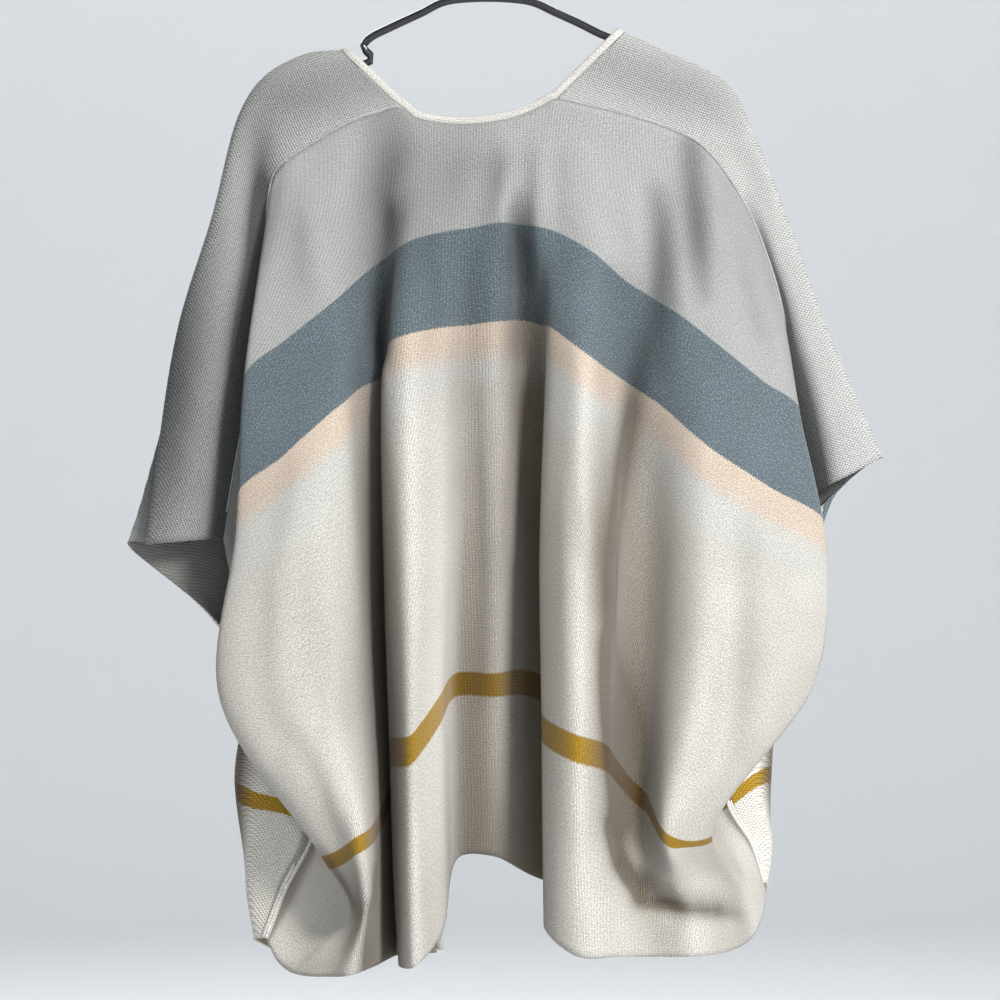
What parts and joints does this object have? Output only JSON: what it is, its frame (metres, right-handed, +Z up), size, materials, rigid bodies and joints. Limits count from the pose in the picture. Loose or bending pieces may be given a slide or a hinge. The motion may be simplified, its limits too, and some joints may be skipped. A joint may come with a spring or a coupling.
{
  "type": "open-fronted sweater poncho on a plastic clothes hanger",
  "caption": "Striped knit poncho with open fronts, wing sleeves and rolled edging, hanging in soft folds from a black plastic hanger.",
  "frame": {"origin": "inside top of the hanger's hook, where a rail or peg carries it", "axes": "+Z up, +X across the garment to the right of someone who looks at its back, and the garment's back faces -Y"},
  "size_m": [0.6813, 0.1572, 0.9463],
  "materials": {
    "striped_knit": "soft matte jersey knit, cream with heather grey yoke and slate, peach and mustard bands",
    "grey_knit": "soft matte double knit, heather grey shoulder over the same bands",
    "edging_knit": "rolled knit edging, pale cream, slightly fuzzy",
    "seam_knit": "felled knit seam, matte cream",
    "black_plastic": "glossy black moulded plastic"
  },
  "bodies": {
    "root": {"back_panel": "striped_knit", "front_panel_left": "grey_knit", "front_panel_right": "grey_knit", "neckband": "edging_knit", "side_seam_left": "seam_knit", "side_seam_right": "seam_knit", "hanger": "black_plastic"}
  },
  "joints": []
}
